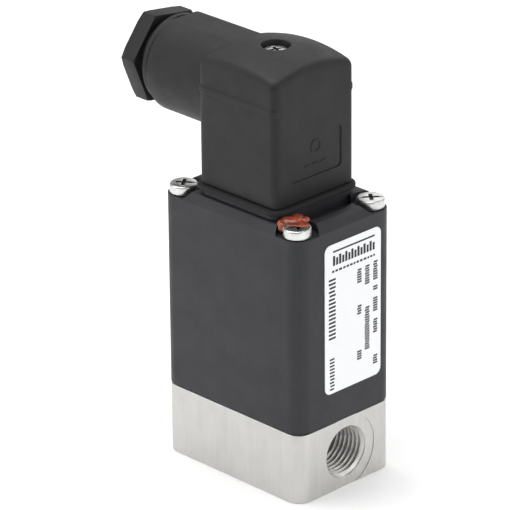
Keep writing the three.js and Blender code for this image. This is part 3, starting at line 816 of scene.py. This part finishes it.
class VALVE_OT_lacquer(bpy.types.Operator):
    """Red sealing lacquer brushed over the front screw and into its pocket"""

    bl_idname = "valve.lacquer"
    bl_label = "Sealing lacquer"

    def execute(self, context):
        centre = centre_of("housing_screw_2")
        rng = random.Random(7)
        rows, columns = 10, 20
        verts, faces = [], []
        for dx, dy, z, wide, tall in LACQUER_LUMPS:
            faces += ring_faces(len(verts), rows, columns)
            for row in range(rows + 1):
                lat = math.pi * row / rows
                for column in range(columns):
                    lon = 2 * math.pi * column / columns
                    out = wide * math.sin(lat) * (1 + rng.uniform(-0.04, 0.04))
                    verts.append((centre.x + dx + out * math.cos(lon),
                                  centre.y + dy + out * math.sin(lon), z + tall * math.cos(lat)))
        lump = make_object("seal_lacquer_lump", verts, faces)
        remesh = lump.modifiers.new("Skin", "REMESH")
        remesh.mode = "VOXEL"
        remesh.voxel_size = 0.16 * MM
        smooth = lump.modifiers.new("Flow", "SMOOTH")
        smooth.factor = 0.5
        smooth.iterations = 9
        apply_modifiers(lump)
        half = POCKET_RADIUS - 0.1
        room = slab("room", half, half, half - 0.05, POCKET_FLOOR, 71.5, 0, 12)
        carve(lump, [move(room, at(centre.x, centre.y, 0))], "INTERSECT")
        shade(lump, 60)
        finish_piece(lump, "valve", "lacquer", "red_lacquer", "seal_lacquer")
        return {"FINISHED"}


# --- rating label
# Columns of print read downwards: left edge, width, step, inked share of a step, and each run as
# (top, number of signs).
PRINT_COLUMNS = (
    (-6.1, 2.3, 2.0, 0.26, ((55.8, 8),)),
    (-5.8, 1.6, 1.72, 0.26, ((35.3, 5),)),
    (3.4, 1.5, 1.25, 0.36, ((55.6, 3), (46.2, 2), (34.4, 2))),
    (6.0, 1.6, 1.25, 0.36, ((55.7, 4), (45.0, 9))),
    (8.8, 1.5, 1.25, 0.36, ((56.0, 4), (49.6, 1), (46.6, 3), (41.0, 3), (31.6, 2))),
)
PRINT_LEFT, PRINT_RIGHT = -4.7, 9.3
INK_HEIGHTS = (-0.005, 0.012)


def label_bars():
    """Plain printed bars as (y0, y1, z0, z1): a heading, a small line under it, the columns."""
    rng = random.Random(11)
    bars = [(PRINT_LEFT, PRINT_RIGHT, 62.35, 62.8)]
    for k in range(7):
        start = PRINT_LEFT + 2.04 * k
        bars += [(start, start + 0.75, 59.0, 61.5), (start + 1.05, start + 1.75, 59.0, 60.9)]
    y = PRINT_LEFT - 0.3
    while y < PRINT_RIGHT - 0.3:
        wide = rng.uniform(0.5, 1.1)
        bars.append((y, min(y + wide, PRINT_RIGHT + 0.1), 57.3, 57.85))
        y += wide + 0.35
    for left, width, step, ink, runs in PRINT_COLUMNS:
        for top, count in runs:
            for k in range(count):
                z = top - k * step
                shift = width * rng.choice((0, 0.12))
                bars.append((left + shift, left + width, z - ink * step, z))
                bars.append((left, left + width - shift, z - (0.5 + ink) * step, z - 0.5 * step))
    return bars


class VALVE_OT_label(bpy.types.Operator):
    """White rating label with plain printed bars in place of text"""

    bl_idname = "valve.label"
    bl_label = "Rating label"

    def execute(self, context):
        middle = (LABEL_LOW + LABEL_HIGH) / 2
        half_y = (LABEL_HIGH.y - LABEL_LOW.y) / 2
        half_z = (LABEL_HIGH.z - LABEL_LOW.z) / 2
        face = LABEL_HIGH.x - 0.02
        stand = facing_x(face, middle.y, middle.z)
        film = slab("rating_label_film", half_y, half_z, 1.8, LABEL_LOW.x - face, 0, 0.02, 10)
        move(film, stand)
        shade(film, 40)
        finish_piece(film, "valve", "label_film", "label_film", "rating_label")
        verts, faces = [], []
        for y0, y1, z0, z1 in label_bars():
            base = len(verts)
            ring = [(y0, z0), (y1, z0), (y1, z1), (y0, z1)]
            verts += [(y - middle.y, z - middle.z, height)
                      for height in INK_HEIGHTS for y, z in ring]
            under, over = range(base + 3, base - 1, -1), range(base + 4, base + 8)
            faces += [tuple(under), tuple(over)] + ring_faces(base, 1, 4)
        ink = make_object("rating_label_print", verts, faces)
        move(ink, stand)
        finish_piece(ink, "valve", "label_film", "label_ink")
        return {"FINISHED"}


# --- plug gasket
class VALVE_OT_gasket(bpy.types.Operator):
    """Profiled rubber gasket between the housing and the plug"""

    bl_idname = "valve.gasket"
    bl_label = "Plug gasket"

    def execute(self, context):
        half = GASKET_HIGH.x
        gasket = slab("plug_gasket_pad", half, half, 3.8, GASKET_LOW.z, GASKET_HIGH.z, 0.45, 12)
        carve(gasket, [slab("opening", 11, 11, 1.5, 60, 80)])
        shade(gasket, 40)
        finish_piece(gasket, "valve", "gasket_rubber", "gasket_rubber", "plug_gasket")
        return {"FINISHED"}


# --- cable plug
def dome_height(x, y):
    """Height of the crowned roof over a place; it falls a little faster towards the back."""
    fall = BACK_FALL * max(0, y) ** 2
    return CROWN - DOME_RADIUS + math.sqrt(DOME_RADIUS ** 2 - x * x - y * y) - fall


def on_dome(x, y, drop=0):
    return Vector((x, y, dome_height(x, y) - drop))


def bead_offset(height, normal):
    """How far the bead stands out; it runs on the long-side walls and fades in the corners."""
    if height < BEAD_LOW or height > BEAD_HIGH:
        return 0.0
    side = min(max((abs(normal.y) - 0.3) / 0.6, 0), 1)
    t = (height - BEAD_LOW) / (BEAD_HIGH - BEAD_LOW)
    return sizes().bead * side * min(1.0, 1.9 * math.sin(math.pi * t))


def hood_rings():
    """Skin of the plug's block: foot, walls, rounded roof and down the screw hole."""
    outline = rounded_outline(HOOD_X, HOOD_Y, HOOD_CORNER, 9, 14)
    edge = sizes().mould_edge
    rings = []
    for a in quarter(3):
        inset, height = edge * (1 - math.sin(a)), HOOD_LOW.z + edge * (1 - math.cos(a))
        rings.append([Vector((*(p - n * inset), height)) for p, n in outline])
    bead_levels = [BEAD_LOW + (BEAD_HIGH - BEAD_LOW) * k / 10 for k in range(11)]
    for height in [78, 84, 90, BEAD_LOW - 0.15] + bead_levels + [BEAD_HIGH + 0.15, 99.5]:
        rings.append([Vector((*(p + n * bead_offset(height, n)), height)) for p, n in outline])
    round_off = sizes().roof_edge
    roof = [p - n * round_off for p, n in outline]
    edge_rows, roof_rows = 8, 16
    for k in range(edge_rows + 1):
        t = k / edge_rows
        rings.append([on_dome(p.x, p.y, round_off) * (1 - t) ** 2
                      + on_dome(p.x, p.y) * 2 * t * (1 - t)
                      + on_dome(inner.x, inner.y) * t * t for (p, n), inner in zip(outline, roof)])
    for k in range(1, roof_rows + 1):
        t = k / roof_rows
        spots = [inner.lerp(inner.normalized() * (ROOF_HOLE + 0.25), t) for inner in roof]
        rings.append([on_dome(spot.x, spot.y) for spot in spots])
    for radius, drop in ((ROOF_HOLE + 0.07, 0.07), (ROOF_HOLE, 0.25), (ROOF_HOLE, 3.0)):
        spots = [inner.normalized() * radius for inner in roof]
        rings.append([on_dome(spot.x, spot.y, drop) for spot in spots])
    rings.append([Vector((*((p - n).normalized() * ROOF_HOLE), ROOF_FLOOR)) for p, n in outline])
    return rings


def neck_rings():
    """Sections of the cable neck along -X: a round with a flat on top."""
    edge = 0.35
    stations = [(NECK_END + edge * (1 - math.cos(a)), edge * (1 - math.sin(a))) for a in quarter(4)]
    stations += [(x, 0) for x in (-28, -24, -20, -16, -12, -8, -5)]
    rings = []
    for x, inset in stations:
        flat = NECK_FLAT - NECK_Z - inset
        rings.append([Vector((x, y, NECK_Z + min(z, flat)))
                      for z, y in circle(NECK_RADIUS - inset, 96)])
    return rings


def panel_tool():
    """Cutter for the shallow framed panel in the hood's front wall."""
    (y0, y1), (z0, z1) = PANEL_Y, PANEL_Z
    panel = slab("panel", (y1 - y0) / 2, (z1 - z0) / 2, 1.2, -PANEL_DEPTH, 3)
    return move(panel, facing_x(HOOD_X, (y0 + y1) / 2, (z0 + z1) / 2))


class VALVE_OT_hood(bpy.types.Operator):
    """Plug hood: crowned block, beads, front panel, cable neck and the room inside"""

    bl_idname = "valve.hood"
    bl_label = "Plug hood"

    def execute(self, context):
        hood = loft("plug_hood_shell", hood_rings())
        carve(hood, [loft("neck", neck_rings())], "UNION")
        room = slab("room", HOOD_X - CAVITY_WALL, HOOD_Y - CAVITY_WALL, 1.2, 60, CAVITY_TOP)
        entry = revolve("entry", [(0, 11), (7.5, 11), (7.5, NECK_SHOULDER),
                                  (NECK_BORE, NECK_SHOULDER), (NECK_BORE, 40), (0, 40)], 72)
        move(entry, at(0, 0, NECK_Z) @ turn(-90, "Y"))
        carve(hood, [panel_tool(), room, entry])
        carve(hood, [rod("tower", 5, 92, CAVITY_TOP + 0.5, 48)], "UNION")
        carve(hood, [rod("shank", 1.8, 85, 104, 32)])
        self.emblem(hood)
        shade(hood, 34)
        finish_piece(hood, "plug", "hood_plastic", "hood_polyamide", "plug_hood")
        return {"FINISHED"}

    @staticmethod
    def emblem(hood):
        """Plain raised ring and a row of short bars on the panel."""
        stand = facing_x(HOOD_X - 0.3, 0, 0)
        ring = revolve("ring", [(1.35, 0), (1.7, 0), (1.7, 0.2), (1.35, 0.2), (1.35, 0)], 40)
        pieces = [move(ring, stand @ at(0.2, 85.0, 0))]
        for k in range(3):
            bar = slab("bar", 0.9, 0.28, 0.2, 0, 0.2)
            pieces.append(move(bar, stand @ at(-2.4 + 2.6 * k, 80.6, 0)))
        carve(hood, pieces, "UNION")


class VALVE_OT_plug_screw(bpy.types.Operator):
    """Central plug screw with its slotted cross head"""

    bl_idname = "valve.plug_screw"
    bl_label = "Plug screw"

    def execute(self, context):
        radius, top, low = PLUG_SCREW_HIGH.x, PLUG_SCREW_HIGH.z, PLUG_SCREW_LOW.z
        under, reach = top - 2.2, 1.6
        overlap = under + 0.3
        shank = [(0, low), (1.1, low), (1.5, low + 0.5), (1.5, overlap), (0, overlap)]
        head = cross_screw("plug_screw_head", radius, under, top, 0.45, 0.06, shank,
                           width=0.8, reach=reach, depth=1.3, slot_depth=0.8)
        move(head, turn(70, "Z"))
        shade(head, 35)
        finish_piece(head, "plug_screw", "plated_steel", "screw_plating", "plug_screw")
        paint_recess_shade(head, Vector((0, 0, 0)), top, reach)
        return {"FINISHED"}


# The gland nut lies along -X: distances from the hood's middle, then radii.
STEM_START, COLLAR_START, COLLAR_END, HEX_START = 24.0, 32.4, 34.0, 35.9
STEM_ROOT, STEM_RADIUS, COLLAR_RADIUS, WAIST_RADIUS, HEX_RADIUS = 8.25, 8.7, 11.1, 9.6, 12.2
GLAND_BORE, GLAND_MOUTH = 5.2, 7.2
HEX_TURN = 38


class VALVE_OT_gland_nut(bpy.types.Operator):
    """Cable gland nut: threaded stem, collar, waist and chamfered hexagon"""

    bl_idname = "valve.gland_nut"
    bl_label = "Gland nut"

    def execute(self, context):
        nut = self.hexagon()
        collar, stem = revolve("collar", self.collar(), 96), revolve("stem", self.stem(), 72)
        carve(nut, [collar, stem], "UNION")
        mouth = [(0, 20), (GLAND_BORE, 20), (GLAND_BORE, NUT_END - 1.8), (6.4, NUT_END - 0.5),
                 (GLAND_MOUTH, NUT_END + 1), (0, NUT_END + 1)]
        carve(nut, [revolve("mouth", mouth, 72)])
        move(nut, at(0, 0, NECK_Z) @ turn(-90, "Y"))
        shade(nut, 30)
        finish_piece(nut, "gland_nut", "hood_plastic", "hood_polyamide", "gland_nut")
        return {"FINISHED"}

    @staticmethod
    def hexagon():
        """Hexagon with both ends of its corners turned down."""
        angles = [math.radians(60 * k + HEX_TURN) for k in range(6)]
        nut = loft("gland_nut_body", [[
            Vector((HEX_RADIUS * math.cos(a), HEX_RADIUS * math.sin(a), z)) for a in angles]
            for z in (HEX_START, NUT_END)])
        front, back, outside = HEX_START - 0.01, NUT_END + 0.01, HEX_RADIUS + 0.05
        barrel = [(0, front), (HEX_RADIUS - 0.5, front), (outside, HEX_START + 0.4),
                  (outside, NUT_END - 0.44), (HEX_RADIUS - 1.1, back), (0, back)]
        carve(nut, [revolve("barrel", barrel, 96)], "INTERSECT")
        return soften(nut, 0.18, 2, 25)

    @staticmethod
    def collar():
        """Profile of the collar and of the waist between it and the hexagon."""
        edge = 0.25
        rim, inside, joint = COLLAR_RADIUS - edge, COLLAR_START + 1, HEX_START + 0.3
        profile = [(0, inside), (STEM_RADIUS, inside), (STEM_RADIUS, COLLAR_START),
                   (rim, COLLAR_START)]
        profile += arc_profile((rim, COLLAR_START + edge), edge, -60, 0, 3)
        profile += arc_profile((rim, COLLAR_END - edge), edge, 0, 60, 3)
        return profile + [(WAIST_RADIUS, COLLAR_END), (WAIST_RADIUS, joint), (0, joint)]

    @staticmethod
    def stem():
        """Profile of the stem with five thread ridges."""
        profile = [(0, STEM_START), (STEM_ROOT - 0.05, STEM_START)]
        for ridge in range(5):
            base = STEM_START + 0.3 + ridge * 1.5
            profile += [(STEM_ROOT, base), (STEM_RADIUS, base + 0.5), (STEM_RADIUS, base + 0.75),
                        (STEM_ROOT, base + 1.25)]
        return profile + [(STEM_ROOT, COLLAR_START + 0.6), (0, COLLAR_START + 0.6)]


# --- finishes of the frame's own nodes
FRAME_FINISHES = {
    "seal_rubber": ("diaphragm",),
    "gasket_rubber": ("screw_washer", "gland_grommet"),
    "machined_brass": ("armature_frame", "threaded_insert", "terminal_contact_1",
                       "terminal_contact_2", "earth_contact"),
    "spring_wire": ("armature_pin", "return_spring"),
    "magnet_steel": ("armature", "pole_core", "yoke"),
    "bobbin_polyamide": ("coil_bobbin",),
    "winding_copper": ("coil_winding", "coil_lead_1", "coil_lead_2"),
    "screw_plating": ("terminal_blade_1", "terminal_blade_2", "earth_blade",
                      "clamp_screw_1", "clamp_screw_2", "clamp_screw_3"),
    "carrier_polyamide": ("contact_carrier", "gland_washer"),
}


class VALVE_OT_inner_finishes(bpy.types.Operator):
    """Finishes on the inner pieces that keep the frame's own shapes"""

    bl_idname = "valve.inner_finishes"
    bl_label = "Inner pieces"

    def execute(self, context):
        for name, nodes in FRAME_FINISHES.items():
            material = finish_named(name)
            for obj in [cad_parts[node] for node in nodes]:
                if not obj.material_slots:
                    obj.data.materials.append(material)
                for place in obj.material_slots:
                    place.material = material
        return {"FINISHED"}


# --- studio
class ValveStudio(bpy.types.PropertyGroup):
    """Camera and light settings of the studio."""

    azimuth: number("Azimuth", "Camera direction round the valve, degrees", 45.31)
    elevation: number("Elevation", "Camera height above the horizon, degrees", 24.01)
    roll: number("Roll", "Camera roll, degrees", -0.42)
    distance: number("Distance", "Camera distance from its aim", 1.0055, unit="LENGTH")
    lens: number("Lens", "Focal length, mm", 298.05)
    shift_x: number("Shift X", "Sideways shift of the view", -0.0438)
    shift_y: number("Shift Y", "Upward shift of the view", 0.0245)
    floor_size: number("Floor size", "Side of the floor", 6.0, unit="LENGTH")
    floor_glow: number("Floor glow", "Light given off by the floor, which thins the shadow", 0.16)
    world_light: number("Room light", "Strength of the even light from all round", 0.42)


# Each light as its place in metres, its size in metres and its power in watts.
LIGHTS = {
    "top_box": ((-0.25, -0.05, 0.95), 0.8, 6.5),
    "left_box": ((-0.75, -0.95, 0.55), 0.9, 4.0),
    "right_box": ((1.1, 0.1, 0.45), 0.8, 2.8),
    "back_box": ((-0.45, 0.95, 0.6), 0.8, 1.9),
    "side_box": ((0.75, 0.85, 0.55), 0.7, 1.8),
}


class VALVE_OT_stage(bpy.types.Operator):
    """Pale floor, soft studio light and the camera"""

    bl_idname = "valve.stage"
    bl_label = "Studio"

    def execute(self, context):
        studio = context.scene.valve_studio
        self.floor(studio)
        self.lights(context.scene, studio)
        self.camera(context.scene, studio)
        context.scene.view_settings.view_transform = "Standard"
        return {"FINISHED"}

    @staticmethod
    def floor(studio):
        half = studio.floor_size / MM / 2
        corners = [(-half, -half), (half, -half), (half, half), (-half, half)]
        sheet = make_object("studio_floor", [(x, y, -0.01) for x, y in corners], [(0, 1, 2, 3)])
        finish = Finish("floor_paint", (0.94, 0.94, 0.94), 0.9)
        mottle = finish.noise(9, 3, 0.5)
        finish.tint(mottle, (0.93, 0.93, 0.93), (0.95, 0.95, 0.95))
        finish.shader.inputs["Emission Color"].default_value = (1, 1, 1, 1)
        finish.shader.inputs["Emission Strength"].default_value = studio.floor_glow
        sheet.data.materials.append(finish.material)

    @staticmethod
    def lights(scene, studio):
        world = bpy.data.worlds.new("studio_room")
        world.use_nodes = True
        background = world.node_tree.nodes["Background"]
        background.inputs["Color"].default_value = (1, 1, 1, 1)
        background.inputs["Strength"].default_value = studio.world_light
        scene.world = world
        aim = Vector((0, 0, 0.055))
        for name, (place, size, power) in LIGHTS.items():
            lamp = bpy.data.lights.new(name, "AREA")
            lamp.size = size
            lamp.energy = power
            obj = bpy.data.objects.new(name, lamp)
            obj.location = place
            obj.rotation_euler = (aim - Vector(place)).to_track_quat("-Z", "Y").to_euler()
            bpy.context.collection.objects.link(obj)

    @staticmethod
    def camera(scene, studio):
        azimuth, elevation = math.radians(studio.azimuth), math.radians(studio.elevation)
        back = Vector((math.sin(azimuth) * math.cos(elevation),
                       -math.cos(azimuth) * math.cos(elevation), math.sin(elevation)))
        data = bpy.data.cameras.new("studio_camera")
        data.lens = studio.lens
        data.sensor_width = 36
        data.shift_x, data.shift_y = studio.shift_x, studio.shift_y
        data.clip_start, data.clip_end = 0.05, 20
        camera = bpy.data.objects.new("studio_camera", data)
        aim = Vector((0, 0, 0.05))
        look = (-back).to_track_quat("-Z", "Y")
        roll = Matrix.Rotation(math.radians(studio.roll), 4, "Z").to_quaternion()
        camera.location = aim + back * studio.distance
        camera.rotation_mode = "QUATERNION"
        camera.rotation_quaternion = look @ roll
        bpy.context.collection.objects.link(camera)
        scene.camera = camera


# --- panel and registration
OPERATORS = (
    VALVE_OT_stage, VALVE_OT_body, VALVE_OT_housing, VALVE_OT_screws, VALVE_OT_lacquer,
    VALVE_OT_label, VALVE_OT_gasket, VALVE_OT_hood, VALVE_OT_plug_screw, VALVE_OT_gland_nut,
    VALVE_OT_inner_finishes,
)


class VALVE_PT_looks(bpy.types.Panel):
    """Lists the pieces of the valve and the values that shape them"""

    bl_idname = "VALVE_PT_looks"
    bl_label = "Solenoid valve"
    bl_space_type = "VIEW_3D"
    bl_region_type = "UI"
    bl_category = "Valve"

    def draw(self, context):
        layout = self.layout
        for group_name, kind in GROUPS.items():
            column = layout.column()
            for name in kind.__annotations__:
                column.prop(getattr(context.scene, group_name), name)
        for operator in OPERATORS:
            layout.operator(operator.bl_idname)


GROUPS = {"valve_colours": ValveColours, "valve_sizes": ValveSizes, "valve_studio": ValveStudio}
CLASSES = (*GROUPS.values(), *OPERATORS, VALVE_PT_looks)


def register():
    for item in CLASSES:
        bpy.utils.register_class(item)
    for name, group in GROUPS.items():
        setattr(bpy.types.Scene, name, PointerProperty(type=group))


def unregister():
    for name in GROUPS:
        delattr(bpy.types.Scene, name)
    for item in reversed(CLASSES):
        bpy.utils.unregister_class(item)


def main():
    register()
    bpy.ops.valve.stage()
    bpy.ops.valve.body()
    bpy.ops.valve.housing()
    bpy.ops.valve.screws()
    bpy.ops.valve.lacquer()
    bpy.ops.valve.label()
    bpy.ops.valve.gasket()
    bpy.ops.valve.hood()
    bpy.ops.valve.plug_screw()
    bpy.ops.valve.gland_nut()
    bpy.ops.valve.inner_finishes()


if __name__ == "__main__":
    main()
